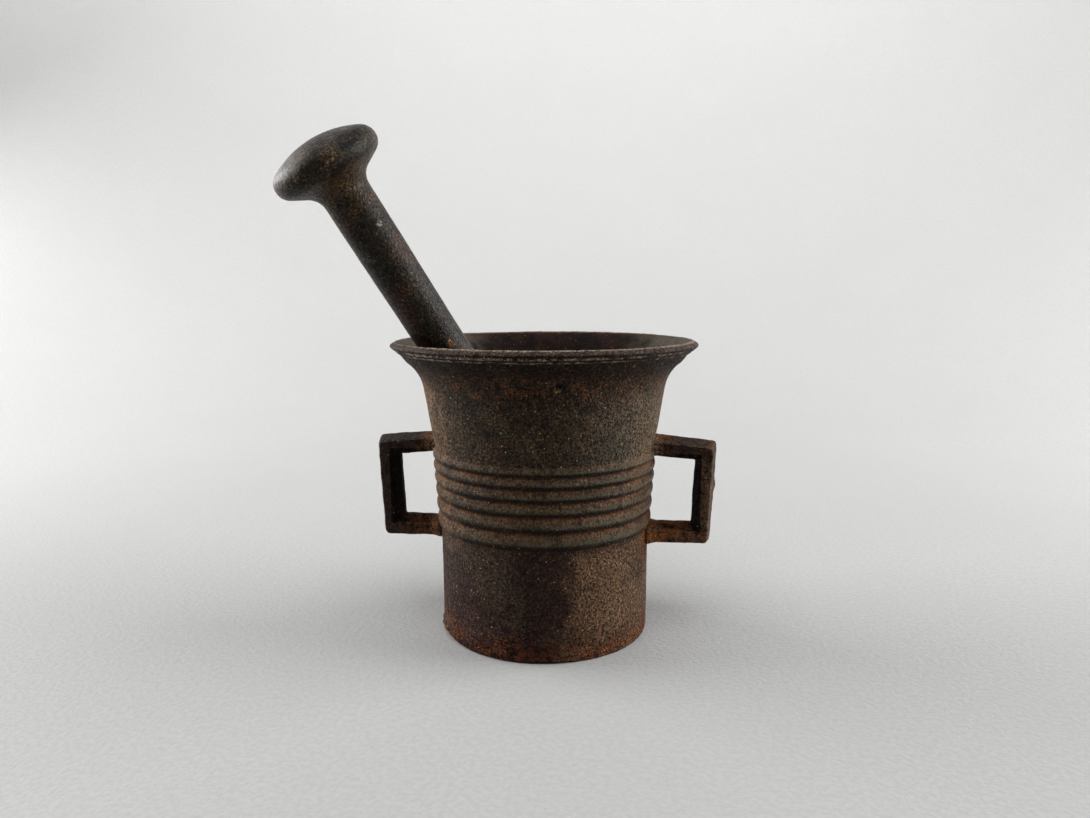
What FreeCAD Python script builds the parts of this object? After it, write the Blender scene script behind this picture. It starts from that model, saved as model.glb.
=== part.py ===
import FreeCAD, Part
import os
from math import acos, atan2, cos, degrees, pi, radians, sin, tan

os.makedirs("parts", exist_ok=True)

# Cast-iron mortar and pestle, in millimetres.
# The origin is the centre of the mortar's foot, +Z is up and the handles lie along X.

# Mortar, outside
mortar_height = 120.0
foot_radius = 42.6
foot_edge_radius = 1.2
rib_low_spread = 0.3         # how much wider than the foot the body is below the rings
rib_high_spread = 2.3        # the same, above the rings
flare_start_spread = 6.4     # the same, where the flare begins
flare_drop = 19.0            # from the top of the lip down to where the flare begins
flare_radius = 17.0          # hollow curve under the lip
lip_overhang = 13.0          # from where the flare begins out to the lip's edge
lip_slope = radians(54)      # how far the flare turns away from upright
lip_edge_radius = 1.2
lip_land = 1.6               # width of the flat top of the lip

# Raised rings round the body
rib_count = 6
rib_low_height = 43.6
rib_band_height = 33.0
rib_relief = 0.75
rib_widening = 1.75          # width of the lowest ring over that of the highest

# Bowl
floor_thickness = 11.0
wall_thickness = 7.1         # at the foot; the wall thins towards the lip
inner_flare_radius = 36.0
inner_lip_straight = 4.0     # straight run from the inner curve to the top of the lip

# Handles, cast with the mortar in a mould that parts on their middle plane
handle_length = 27.7         # from the foot's radius out to the upper outer corner
handle_lower_length = 25.6   # the same, to the lower outer corner
handle_root_top = 82.2
handle_outer_top = 79.4
handle_bottom = 36.8
handle_bar = 8.2             # bar thickness on the middle plane
handle_top_bar = 8.8
handle_depth = 16.0
handle_draft = 1.6           # how much each flank draws in from the middle plane
handle_corner_radius = 1.8

# Pestle
pestle_length = 206.0
shaft_head_radius = 8.6      # shaft radius where it meets the grinding head
shaft_knob_radius = 9.2      # shaft radius where it meets the knob
knob_radius = 20.5
knob_dome = 9.2
knob_edge_radius = 5.6
head_radius = 18.5
head_dome = 10.5
head_edge_radius = 4.5
neck_radius = 6.5
underside_slope = radians(28)

# Rest pose: the pestle leans on the inside of the flare, its head in the bowl
lean_heading = radians(213)          # compass direction of the lean, from +X towards +Y
head_rest_direction = radians(-137)  # from the bowl's centre to the head, 0 being the leaning side
clearance = 0.3

# Radii and heights that follow
rib_low_radius = foot_radius + rib_low_spread
rib_high_radius = foot_radius + rib_high_spread
flare_start_radius = foot_radius + flare_start_spread
lip_radius = flare_start_radius + lip_overhang
flare_start_height = mortar_height - flare_drop
rib_high_height = rib_low_height + rib_band_height
bowl_radius = foot_radius - wall_thickness


def point(radius, height):
    """A point of a profile, in the plane y = 0."""
    return FreeCAD.Vector(radius, 0, height)


def on_circle(centre, radius, angle):
    """The point of a circle at an angle that turns from straight out towards up."""
    return point(centre.x + radius * cos(angle), centre.z + radius * sin(angle))


def arc(centre, radius, first, last):
    """Arc of a profile between two angles."""
    middle = (first + last) / 2
    ends = [on_circle(centre, radius, angle) for angle in (first, middle, last)]
    return Part.Arc(*ends).toShape()


def line(start, end):
    return Part.LineSegment(start, end).toShape()


def joined(edges):
    """The edges in order, with straight runs across the gaps between them."""
    chain = []
    for edge in edges:
        if chain:
            gap_start = chain[-1].valueAt(chain[-1].LastParameter)
            gap_end = edge.valueAt(edge.FirstParameter)
            if gap_start.distanceToPoint(gap_end) > 1e-6:
                chain.append(line(gap_start, gap_end))
        chain.append(edge)
    return chain


def turned(edges):
    """Solid of revolution about Z from a profile that starts and ends on the axis."""
    first = edges[0].valueAt(edges[0].FirstParameter)
    last = edges[-1].valueAt(edges[-1].LastParameter)
    outline = Part.Wire(edges + [line(last, first)])
    return Part.Face(outline).revolve(point(0, 0), FreeCAD.Vector(0, 0, 1), 360)


# Curves of the bowl that the pestle touches
bowl_centre = point(0, floor_thickness + bowl_radius)
lip_inner_edge = point(lip_radius - lip_edge_radius - lip_land, mortar_height)
inner_flare_end = point(
    lip_inner_edge.x - inner_lip_straight * sin(lip_slope),
    lip_inner_edge.z - inner_lip_straight * cos(lip_slope))
inner_flare_centre = point(
    inner_flare_end.x + inner_flare_radius * cos(lip_slope),
    inner_flare_end.z - inner_flare_radius * sin(lip_slope))


def bowl_profile():
    """Inside of the mortar, from the floor up to the lip."""
    reach = inner_flare_centre - bowl_centre
    spread = acos((bowl_radius + inner_flare_radius) / reach.Length)
    wall_angle = atan2(reach.z, reach.x) - spread
    floor = arc(bowl_centre, bowl_radius, -pi / 2, wall_angle)
    flare = arc(inner_flare_centre, inner_flare_radius, pi + wall_angle, pi - lip_slope)
    return [floor, flare]


def rib_profile():
    """Raised rings, each a shallow arc, narrower towards the top."""
    widths = [rib_widening - (rib_widening - 1) * i / (rib_count - 1) for i in range(rib_count)]
    scale = rib_band_height / sum(widths)
    edges = []
    low = rib_low_height
    for width in widths:
        high = low + width * scale
        radii = []
        for height in (low, (low + high) / 2, high):
            share = (height - rib_low_height) / rib_band_height
            radii.append(rib_low_radius + share * (rib_high_radius - rib_low_radius))
        crest = point(radii[1] + rib_relief, (low + high) / 2)
        edges.append(Part.Arc(point(radii[0], low), crest, point(radii[2], high)).toShape())
        low = high
    return edges


def outer_profile():
    """Outside of the mortar, from the foot up to the lip."""
    body_slope = atan2(
        flare_start_radius - rib_high_radius, flare_start_height - rib_high_height)
    flare_centre = point(
        flare_start_radius + flare_radius * cos(body_slope),
        flare_start_height - flare_radius * sin(body_slope))
    foot = arc(point(foot_radius - foot_edge_radius, foot_edge_radius), foot_edge_radius, -pi / 2, 0)
    flare = arc(flare_centre, flare_radius, pi - body_slope, pi - lip_slope)
    lip_centre = point(lip_radius - lip_edge_radius, mortar_height - lip_edge_radius)
    lip_top = arc(lip_centre, lip_edge_radius, 0, pi / 2)
    flare_end = on_circle(flare_centre, flare_radius, pi - lip_slope)
    under_lip_height = flare_end.z + (lip_radius - flare_end.x) / tan(lip_slope)
    under_lip = point(lip_radius, under_lip_height)
    under = line(flare_end, under_lip)
    return [foot] + rib_profile() + [flare, under, lip_top]


def handle_frame(inset):
    """Outer corners of a handle and corners of its opening, drawn in by an inset."""
    root = foot_radius - wall_thickness / 2
    outer = [
        point(root, handle_root_top - inset),
        point(foot_radius + handle_length - inset, handle_outer_top - inset),
        point(foot_radius + handle_lower_length - inset, handle_bottom + inset),
        point(root, handle_bottom + inset)]
    bar = handle_bar - 2 * inset
    top_bar = handle_top_bar - 2 * inset
    opening = [
        point(root - 1, outer[0].z - top_bar),
        point(outer[1].x - bar, outer[1].z - top_bar),
        point(outer[2].x - bar, outer[2].z + bar),
        point(root - 1, outer[3].z + bar)]
    return outer, opening


def flank_loft(corners_middle, corners_side, side):
    """Half of a drafted block, from the middle plane out to one side."""
    sections = []
    for corners, offset in ((corners_middle, 0), (corners_side, side * handle_depth / 2)):
        shifted = [corner + FreeCAD.Vector(0, offset, 0) for corner in corners]
        sections.append(Part.makePolygon(shifted + [shifted[0]]))
    return Part.makeLoft(sections, True, True)


def handle():
    """One closed, square handle on the +X side, drafted both ways."""
    outer, opening = handle_frame(0)
    outer_side, opening_side = handle_frame(handle_draft)
    blocks = [flank_loft(outer, outer_side, side) for side in (-1, 1)]
    gaps = [flank_loft(opening, opening_side, side) for side in (-1, 1)]
    block = blocks[0].fuse(blocks[1]).removeSplitter()
    gap = gaps[0].fuse(gaps[1]).removeSplitter()
    corners = []
    for edge in block.Edges:
        ends = [vertex.Point for vertex in edge.Vertexes]
        along = abs(ends[1].y - ends[0].y)
        if along > handle_depth / 4 and min(end.x for end in ends) > foot_radius:
            corners.append(edge)
    block = block.makeFillet(handle_corner_radius, corners)
    return block.cut(gap)


def mortar():
    """Cup, ribs and both handles in one casting."""
    outside = turned(joined(
        [line(point(0, 0), point(foot_radius - foot_edge_radius, 0))]
        + outer_profile() + [line(lip_inner_edge, point(0, mortar_height))]))
    bowl = turned(joined(bowl_profile() + [line(lip_inner_edge, point(0, mortar_height))]))
    right = handle()
    left = right.copy()
    left.rotate(FreeCAD.Vector(), FreeCAD.Vector(0, 0, 1), 180)
    return outside.fuse([right, left]).cut(bowl).removeSplitter()


def mushroom(widest, dome, edge, shaft):
    """Pestle end: radius of its dome and its arcs (centre, radius, first, last), tip at z = 0."""
    edge_centre = point(widest - edge, -dome)
    dome_radius = (edge_centre.x ** 2 + dome ** 2 - edge ** 2) / (2 * (dome - edge))
    dome_centre = point(0, -dome_radius)
    rise = atan2(edge_centre.z - dome_centre.z, edge_centre.x)
    under = -pi / 2 + underside_slope
    under_start = on_circle(edge_centre, edge, under)
    neck_centre_x = shaft + neck_radius
    drop = (neck_radius - (neck_centre_x - under_start.x) * cos(under)) / sin(under)
    neck_centre = point(neck_centre_x, under_start.z + drop)
    arcs = [
        (dome_centre, dome_radius, pi / 2, rise),
        (edge_centre, edge, rise, under),
        (neck_centre, neck_radius, under + pi, pi)]
    return dome_radius, arcs


knob_dome_radius, knob_arcs = mushroom(knob_radius, knob_dome, knob_edge_radius, shaft_knob_radius)
head_dome_radius, head_arcs = mushroom(head_radius, head_dome, head_edge_radius, shaft_head_radius)
knob_neck_height = pestle_length + knob_arcs[-1][0].z
head_neck_height = -head_arcs[-1][0].z


def pestle():
    """Pestle standing upright, with the tip of its head at the origin."""
    edges = []
    for centre, radius, first, last in knob_arcs:
        edges.append(arc(point(centre.x, pestle_length + centre.z), radius, first, last))
    for centre, radius, first, last in reversed(head_arcs):
        edges.append(arc(point(centre.x, -centre.z), radius, -last, -first))
    return turned(joined(edges))


def rest_placement():
    """Where the pestle rests: head in the bowl, shaft on the inside of the flare.

    Worked out in the upright plane through the pestle's axis: x points the way it leans.
    """
    ball_centre = on_circle(
        bowl_centre, bowl_radius - head_dome_radius - clearance, head_rest_direction)
    taper = atan2(shaft_knob_radius - shaft_head_radius, knob_neck_height - head_neck_height)
    shaft_offset = (shaft_head_radius * cos(taper)
                    - (head_neck_height - head_dome_radius) * sin(taper))
    reach = inner_flare_centre - ball_centre
    spread = acos((inner_flare_radius + clearance + shaft_offset) / reach.Length)
    lean = spread - atan2(reach.z, reach.x) - taper
    tip = ball_centre - point(sin(lean), cos(lean)) * head_dome_radius
    tilt = FreeCAD.Rotation(FreeCAD.Vector(0, 1, 0), degrees(lean))
    heading = FreeCAD.Rotation(FreeCAD.Vector(0, 0, 1), degrees(lean_heading))
    print("lean", round(degrees(lean), 2), "tip", round(tip.x, 2), round(tip.z, 2))
    return FreeCAD.Placement(heading.multVec(tip), heading.multiply(tilt))


mortar_shape = mortar()
pestle_shape = pestle()
pestle_shape.Placement = rest_placement()

lift = mortar_height - pestle_shape.BoundBox.ZMin + clearance
print("height", round(pestle_shape.BoundBox.ZMax, 2), "least lift to clear the lip", round(lift, 2))

for name, shape in (("mortar", mortar_shape), ("pestle", pestle_shape)):
    solids = shape.Solids
    print(name, "valid", shape.isValid(), "solids", len(solids), "volume", round(shape.Volume))
    shape.exportStep("parts/" + name + ".step")
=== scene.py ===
import bmesh
import bpy
import math
import numpy as np
from mathutils import Matrix, Vector, noise


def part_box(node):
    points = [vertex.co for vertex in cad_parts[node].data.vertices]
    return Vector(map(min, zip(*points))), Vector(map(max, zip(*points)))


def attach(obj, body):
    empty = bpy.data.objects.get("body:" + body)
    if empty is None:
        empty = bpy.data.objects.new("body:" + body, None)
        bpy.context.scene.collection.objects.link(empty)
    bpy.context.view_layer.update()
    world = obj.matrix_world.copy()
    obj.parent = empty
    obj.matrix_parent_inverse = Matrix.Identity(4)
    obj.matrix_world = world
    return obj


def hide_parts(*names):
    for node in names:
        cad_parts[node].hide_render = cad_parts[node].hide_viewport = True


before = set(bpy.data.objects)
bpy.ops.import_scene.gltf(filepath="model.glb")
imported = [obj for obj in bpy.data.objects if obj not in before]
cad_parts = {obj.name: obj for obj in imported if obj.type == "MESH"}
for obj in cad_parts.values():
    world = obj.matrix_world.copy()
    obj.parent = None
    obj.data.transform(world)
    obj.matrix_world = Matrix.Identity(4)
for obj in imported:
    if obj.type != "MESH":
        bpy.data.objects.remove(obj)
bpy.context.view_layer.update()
mm = 0.001

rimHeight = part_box("mortar")[1].z

# where the viewer stands: distance from the mortar's axis, eye height, compass turn
viewpoint = {
    "reach": 0.3339,
    "height": 0.1416,
    "turn": math.radians(7),
    "tiltDown": math.radians(8.58),
    "roll": math.radians(-0.24),
    "lens": 27.05,
    "sensor": 36,
    "sideways": 0.0003,
}


def addObject(name, data):
    made = bpy.data.objects.new(name, data)
    bpy.context.scene.collection.objects.link(made)
    return made


def placeCamera():
    data = bpy.data.cameras.new("viewer")
    data.lens = viewpoint["lens"]
    data.sensor_width = viewpoint["sensor"]
    data.clip_start = 0.01
    data.clip_end = 20
    camera = addObject("viewer", data)
    spot = Vector((viewpoint["sideways"], -viewpoint["reach"], viewpoint["height"]))
    around = Matrix.Rotation(viewpoint["turn"], 4, "Z")
    aim = Matrix.Rotation(math.pi / 2 - viewpoint["tiltDown"], 4, "X")
    lean = Matrix.Rotation(viewpoint["roll"], 4, "Z")
    camera.matrix_world = around @ Matrix.Translation(spot) @ aim @ lean
    bpy.context.scene.camera = camera


placeCamera()
print("camera placed")


# small helpers for node trees
def feed(tree, socket, value):
    # links a node or a socket to an input, or sets a constant on it
    if isinstance(value, bpy.types.Node):
        value = value.outputs[0]
    if isinstance(value, bpy.types.NodeSocket):
        tree.links.new(value, socket)
    else:
        socket.default_value = value


def addNode(tree, kind, inputs=None, **settings):
    made = tree.nodes.new(kind)
    for name, value in settings.items():
        setattr(made, name, value)
    for key, value in (inputs or {}).items():
        feed(tree, made.inputs[key], value)
    return made


def calc(tree, operation, a, b=0.0, c=0.0):
    made = addNode(tree, "ShaderNodeMath", {0: a, 1: b, 2: c}, operation=operation)
    return made.outputs[0]


def fold(tree, operation, values):
    result = values[0]
    for value in values[1:]:
        result = calc(tree, operation, result, value)
    return result


def product(tree, *values):
    return fold(tree, "MULTIPLY", values)


def total(tree, *values):
    return fold(tree, "ADD", values)


def largest(tree, *values):
    return fold(tree, "MAXIMUM", values)


def minus(tree, a, b):
    return calc(tree, "SUBTRACT", a, b)


def flip(tree, value):
    return minus(tree, 1.0, value)


def vectorCalc(tree, operation, a, b=(0, 0, 0), scale=1.0):
    inputs = {0: a, "Scale": scale} if operation == "SCALE" else {0: a, 1: b}
    made = addNode(tree, "ShaderNodeVectorMath", inputs, operation=operation)
    out = "Value" if operation in ("DISTANCE", "DOT_PRODUCT") else "Vector"
    return made.outputs[out]


def ease(tree, value, low, high, toLow=0.0, toHigh=1.0):
    made = addNode(
        tree, "ShaderNodeMapRange",
        {"Value": value, "From Min": low, "From Max": high, "To Min": toLow, "To Max": toHigh},
        interpolation_type="SMOOTHSTEP")
    return made.outputs["Result"]


def startTree(name, rows, forModifier=True):
    # an empty tree and its named inputs: as sockets to link from, and as identifiers
    tree = bpy.data.node_groups.new(name, "GeometryNodeTree")
    tree.is_modifier = forModifier
    tree.interface.new_socket("Geometry", in_out="OUTPUT", socket_type="NodeSocketGeometry")
    identifiers = {}
    for label, kind, value in (("Geometry", "Geometry", None), *rows):
        socket = tree.interface.new_socket(label, in_out="INPUT", socket_type="NodeSocket" + kind)
        if value is not None:
            socket.default_value = value
        identifiers[label] = socket.identifier
    return tree, addNode(tree, "NodeGroupInput").outputs, identifiers


def plainMesh(owner, name):
    bpy.context.view_layer.update()
    seen = owner.evaluated_get(bpy.context.evaluated_depsgraph_get())
    mesh = bpy.data.meshes.new_from_object(seen)
    mesh.name = name
    owner.modifiers.clear()
    owner.data = mesh
    return owner


def meshObject(name, points, edges=(), faces=()):
    mesh = bpy.data.meshes.new(name)
    mesh.from_pydata([tuple(p) for p in points], list(edges), list(faces))
    mesh.update()
    return addObject(name, mesh)


def editMesh(mesh, change):
    bm = bmesh.new()
    bm.from_mesh(mesh)
    change(bm)
    bm.to_mesh(mesh)
    bm.free()


# skin of a sand casting: slow waves, small lumps, grain and pits
skinRows = (
    ("Wave Height", "Float", 0.0002),
    ("Lump Height", "Float", 0.0001),
    ("Pit Depth", "Float", 0.0002),
    ("Grain Height", "Float", 0.00005),
    ("Seed", "Int", 1),
)
skinScales = {"wave": 28.0, "lump": 170.0, "grain": 620.0, "pit": 210.0}


def makeCastSkin():
    tree, given, identifiers = startTree("castSkin", skinRows, False)
    place = addNode(tree, "GeometryNodeInputPosition").outputs[0]
    seeded = vectorCalc(
        tree, "ADD", place,
        addNode(tree, "ShaderNodeCombineXYZ", {0: given["Seed"]}).outputs[0])

    def layer(scale, detail, label):
        grit = addNode(
            tree, "ShaderNodeTexNoise", {"Vector": seeded, "Scale": scale, "Detail": detail})
        height = product(tree, given[label], 4.0)
        return product(tree, minus(tree, grit.outputs[0], 0.5), height)

    waves = layer(skinScales["wave"], 1.0, "Wave Height")
    lumps = layer(skinScales["lump"], 2.0, "Lump Height")
    grain = layer(skinScales["grain"], 2.0, "Grain Height")
    cells = addNode(
        tree, "ShaderNodeTexVoronoi",
        {"Vector": seeded, "Scale": skinScales["pit"], "Randomness": 1.0})
    pick = addNode(tree, "ShaderNodeSeparateXYZ", {0: cells.outputs["Color"]}).outputs[0]
    hollow = ease(tree, cells.outputs["Distance"], 0.3, 0.05)
    chosen = ease(tree, pick, 0.8, 0.95)
    pits = product(tree, hollow, chosen, given["Pit Depth"])
    stand = total(tree, waves, lumps, minus(tree, grain, pits))
    normal = addNode(tree, "GeometryNodeInputNormal").outputs[0]
    push = vectorCalc(tree, "SCALE", normal, scale=stand)
    moved = addNode(tree, "GeometryNodeSetPosition", {"Geometry": given[0], "Offset": push})
    addNode(tree, "NodeGroupOutput", {0: moved})
    return tree


castSkin = makeCastSkin()


def finishTree(tree, given, geometry):
    # the cast skin, then real geometry with its finish
    heights = {label: given[label] for label, kind, value in skinRows}
    skin = addNode(
        tree, "GeometryNodeGroup", {"Geometry": geometry, **heights}, node_tree=castSkin)
    smooth = addNode(tree, "GeometryNodeSetShadeSmooth", {0: skin})
    real = addNode(tree, "GeometryNodeRealizeInstances", {0: smooth})
    painted = addNode(tree, "GeometryNodeSetMaterial", {0: real, "Material": given["Finish"]})
    addNode(tree, "NodeGroupOutput", {0: painted})


castingRows = (
    ("Steps Around", "Int", 64),
    ("Outer Points", "Int", 1000),
    ("Rings", "Int", 0),
    ("Ring Relief", "Float", 0.0),
    ("Ring Low", "Float", 0.0),
    ("Ring High", "Float", 1.0),
    ("Ring Widening", "Float", 1.0),
)


# turns a profile, whose points are the input geometry, about Z; rings are added to its outside
def makeTurnedCasting():
    tree, given, identifiers = startTree(
        "turnedCasting", (*castingRows, *skinRows, ("Finish", "Material", None)))
    profile = given["Geometry"]
    size = addNode(tree, "GeometryNodeAttributeDomainSize", {0: profile}, component="MESH")
    stations = size.outputs["Point Count"]
    columns = total(tree, given["Steps Around"], 1.0)
    sheet = addNode(
        tree, "GeometryNodeMeshGrid",
        {"Size X": 1.0, "Size Y": 1.0, "Vertices X": columns, "Vertices Y": stations})
    number = addNode(tree, "GeometryNodeInputIndex").outputs[0]
    station = calc(tree, "FLOORED_MODULO", number, stations)
    column = calc(tree, "FLOOR", calc(tree, "DIVIDE", total(tree, number, 0.5), stations))
    spot = addNode(
        tree, "GeometryNodeSampleIndex",
        {"Geometry": profile, "Value": addNode(tree, "GeometryNodeInputPosition"), "Index": station},
        data_type="FLOAT_VECTOR")
    parts = addNode(tree, "ShaderNodeSeparateXYZ", {0: spot})
    angle = product(tree, calc(tree, "DIVIDE", column, given["Steps Around"]), 2 * math.pi)

    # rings: each is a rounded bead, and they widen towards the foot
    share = ease(tree, parts.outputs[2], given["Ring Low"], given["Ring High"])
    share.node.interpolation_type = "LINEAR"
    bend = calc(
        tree, "DIVIDE", minus(tree, given["Ring Widening"], 1.0),
        total(tree, given["Ring Widening"], 1.0))
    warped = total(tree, share, product(tree, bend, product(tree, share, minus(tree, share, 1.0))))
    turns = product(tree, warped, given["Rings"])
    phase = minus(tree, calc(tree, "FRACT", turns), 0.5)
    bead = flip(tree, product(tree, phase, phase, 4.0))
    inBand = product(
        tree, calc(tree, "GREATER_THAN", share, 0.001), calc(tree, "LESS_THAN", share, 0.999))
    onOutside = calc(tree, "LESS_THAN", station, given["Outer Points"])
    onRing = product(tree, inBand, onOutside)
    crest = product(tree, bead, onRing)
    radius = total(tree, parts.outputs[0], product(tree, crest, given["Ring Relief"]))
    around = addNode(
        tree, "ShaderNodeCombineXYZ",
        {0: product(tree, radius, calc(tree, "COSINE", angle)),
         1: product(tree, radius, calc(tree, "SINE", angle)),
         2: parts.outputs[2]})
    slope = product(tree, onRing, calc(tree, "SINE", product(tree, phase, 2 * math.pi)))
    marked = sheet
    for label, value in (
            ("ringCrest", crest), ("ringBand", onRing), ("ringSlope", slope),
            ("inside", flip(tree, onOutside))):
        marked = addNode(
            tree, "GeometryNodeStoreNamedAttribute",
            {"Geometry": marked, "Name": label, "Value": value}, data_type="FLOAT", domain="POINT")
    wrapped = addNode(tree, "GeometryNodeSetPosition", {"Geometry": marked, "Position": around})
    welded = addNode(tree, "GeometryNodeMergeByDistance", {"Geometry": wrapped, "Distance": 0.00001})
    finishTree(tree, given, welded)
    return tree, identifiers


turnedCasting, turnedSockets = makeTurnedCasting()
print("node trees built")


def turnOut(name, profile, finish, values):
    edges = [(i, i + 1) for i in range(len(profile) - 1)]
    owner = meshObject(name, [(r, 0, z) for r, z in profile], edges)
    modifier = owner.modifiers.new("turned", "NODES")
    modifier.node_group = turnedCasting
    for label, value in values.items():
        modifier[turnedSockets[label]] = value
    modifier[turnedSockets["Finish"]] = finish
    return plainMesh(owner, name)


# runs of profile points, each (radius, height)
def arcPoints(centre, radius, first, last, step):
    count = max(2, round(abs(last - first) * radius / step))
    angles = [first + (last - first) * i / count for i in range(count + 1)]
    return [(centre[0] + radius * math.cos(a), centre[1] + radius * math.sin(a)) for a in angles]


def linePoints(start, end, step):
    count = max(1, round(math.dist(start, end) / step))
    return [tuple(start[k] + (end[k] - start[k]) * i / count for k in (0, 1)) for i in range(count + 1)]


def chainPoints(runs):
    points = []
    for run in runs:
        for p in run:
            if not points or math.dist(points[-1], p) > 0.00003:
                points.append(p)
    return points


# the mortar, in millimetres; its lip lines are (past the lip radius, above the rim)
mortarSizes = {
    "footRadius": 42.6,
    "footEdge": 1.2,
    "belowRings": 42.9,
    "aboveRings": 44.9,
    "flareStart": (49.0, 101.0),
    "flareRadius": 17.0,
    "lipRadius": 61.6,
    "lipSlope": math.radians(54),
    "bevelFoot": (-3.1, -4.6),
    "bevelTop": (0.05, -1.95),
    "bevelLine": ((0.02, 0.3), (0.18, 0.36), (0.3, 0.3), (0.38, -0.05), (0.46, 0.3),
                  (0.66, 0.34), (0.76, -0.02), (0.86, 0.3), (1.0, 0.3)),
    "edgeLine": ((0.28, -1.75), (0.22, -1.5), (-0.1, -1.2), (-0.7, -0.8), (-1.3, -0.42),
                 (-1.8, -0.16), (-2.3, -0.08), (-2.9, -0.25)),
    "lipInside": 2.8,
    "burrHeight": 8.2,
    "ringLow": 43.6,
    "ringHigh": 76.6,
    "floor": 11.0,
    "bowlRadius": 35.5,
    "innerFlareRadius": 36.0,
    "innerLipStraight": 4.0,
    "stepsAround": 300,
}


def mortarProfile():
    s = mortarSizes
    top = rimHeight / mm
    slope = s["lipSlope"]
    bodySlope = math.atan2(s["flareStart"][0] - s["aboveRings"], s["flareStart"][1] - s["ringHigh"])
    flareCentre = (
        s["flareStart"][0] + s["flareRadius"] * math.cos(bodySlope),
        s["flareStart"][1] - s["flareRadius"] * math.sin(bodySlope))
    flare = arcPoints(flareCentre, s["flareRadius"], math.pi - bodySlope, math.pi - slope, 1.0)
    lip = s["lipRadius"]
    edge = [(lip + r, top + z) for r, z in (s["bevelFoot"], s["bevelTop"], *s["edgeLine"])]
    bevelFoot, bevelTop = edge[:2]
    # the lip's bevel, with two fine turned grooves: share of the way up, and stand from the line
    away = (math.cos(slope), -math.sin(slope))
    bevel = [
        (bevelFoot[0] + (bevelTop[0] - bevelFoot[0]) * t + away[0] * stand,
         bevelFoot[1] + (bevelTop[1] - bevelFoot[1]) * t + away[1] * stand)
        for t, stand in s["bevelLine"]]
    innerEdge = (lip - s["lipInside"], top)
    innerEnd = (
        innerEdge[0] - s["innerLipStraight"] * math.sin(slope),
        innerEdge[1] - s["innerLipStraight"] * math.cos(slope))
    innerCentre = (
        innerEnd[0] + s["innerFlareRadius"] * math.cos(slope),
        innerEnd[1] - s["innerFlareRadius"] * math.sin(slope))
    bowlCentre = (0.0, s["floor"] + s["bowlRadius"])
    across = (innerCentre[0], innerCentre[1] - bowlCentre[1])
    wall = math.atan2(across[1], across[0]) - math.acos(
        (s["bowlRadius"] + s["innerFlareRadius"]) / math.hypot(*across))
    innerFlare = arcPoints(innerCentre, s["innerFlareRadius"], math.pi - slope, math.pi + wall, 1.5)
    ball = arcPoints(bowlCentre, s["bowlRadius"], wall, -math.pi / 2, 1.8)
    footCentre = (s["footRadius"] - s["footEdge"], s["footEdge"])
    foot = arcPoints(footCentre, s["footEdge"], -math.pi / 2, 0, 0.5)
    aboveFoot = (s["footRadius"] + 0.05, s["burrHeight"])
    runs = [
        linePoints((0.0, 0.0), (footCentre[0], 0.0), 4.0),
        foot,
        linePoints(foot[-1], aboveFoot, 0.6),
        linePoints(aboveFoot, (s["belowRings"], s["ringLow"]), 1.1),
        linePoints((s["belowRings"], s["ringLow"]), (s["aboveRings"], s["ringHigh"]), 0.42),
        linePoints((s["aboveRings"], s["ringHigh"]), s["flareStart"], 1.1),
        flare,
        linePoints(flare[-1], bevelFoot, 0.8),
        bevel,
        edge[2:],
        linePoints((lip - 3.5, top - 0.8), innerEnd, 1.0),
        innerFlare,
        linePoints(innerFlare[-1], ball[0], 1.8),
        ball,
    ]
    return [(r * mm, z * mm) for r, z in chainPoints(runs)]


# small marks cast or knocked into the mortar, in metres
mortarMarks = {
    "rimPit": {"spot": (0.0113, -0.0493, 0.1069), "reach": 0.0015, "depth": 0.0011},
    "wallPit": {"spot": (-0.018, -0.042, 0.089), "reach": 0.0011, "depth": 0.0003},
    "ringChip": {"spot": (-0.015, -0.0415, 0.048), "reach": 0.0016, "depth": 0.0004},
}
footBurr = {
    "heading": math.radians(209),
    "spread": 0.42,
    "stand": 0.0008,
    "height": 0.003,
    "thick": 0.0011,
    "rough": 0.0005,
    "undercut": 0.0005,
    "underTop": 0.0022,
    "fadeTop": 0.008,
    "most": 0.0009,
    "zone": (0.036, 0.009),
}


def reshape(mesh, changes):
    # each change takes all the points and moves some of them
    flat = np.empty(len(mesh.vertices) * 3, dtype=np.float32)
    mesh.vertices.foreach_get("co", flat)
    points = flat.reshape(-1, 3).astype(float)
    for change, *details in changes:
        change(points, *details)
    mesh.vertices.foreach_set("co", points.astype(np.float32).ravel())
    mesh.update()


def dent(points, mark):
    # pushes the skin inwards, towards the mortar's axis, round one spot
    away = np.linalg.norm(points - np.array(mark["spot"]), axis=1)
    share = np.exp(-(away / mark["reach"]) ** 2)
    radius = np.linalg.norm(points[:, :2], axis=1)
    inward = 1 - mark["depth"] * share / np.maximum(radius, 0.001)
    points[:, :2] *= np.where(away < mark["reach"] * 4, inward, 1.0)[:, None]


def roughenFoot(points):
    # burr, chips and crumbs round the foot's lower edge
    radius = np.linalg.norm(points[:, :2], axis=1)
    b = footBurr
    low = np.nonzero((points[:, 2] < b["zone"][1]) & (radius > b["zone"][0]))[0]
    for i in low:
        p = Vector(points[i])
        turn = math.atan2(p.y, p.x) - b["heading"]
        turn = (turn + math.pi) % (2 * math.pi) - math.pi
        here = math.exp(-(turn / b["spread"]) ** 2)
        crumb = noise.noise(p * 430.0) + 0.6 * noise.noise(p * 900.0)
        ledge = math.exp(-((p.z - b["height"]) / b["thick"]) ** 2)
        under = max(0.0, 1 - p.z / b["underTop"])
        fade = max(0.0, 1 - p.z / b["fadeTop"])
        push = here * (b["stand"] * ledge * (1 + 0.6 * crumb) - b["undercut"] * under * (1 + crumb))
        push += b["rough"] * fade * crumb * (0.35 + 0.65 * here)
        points[i, :2] *= 1 + min(push, b["most"]) / radius[i]
    points[:, 2] = np.maximum(points[:, 2], 0.0)


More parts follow.
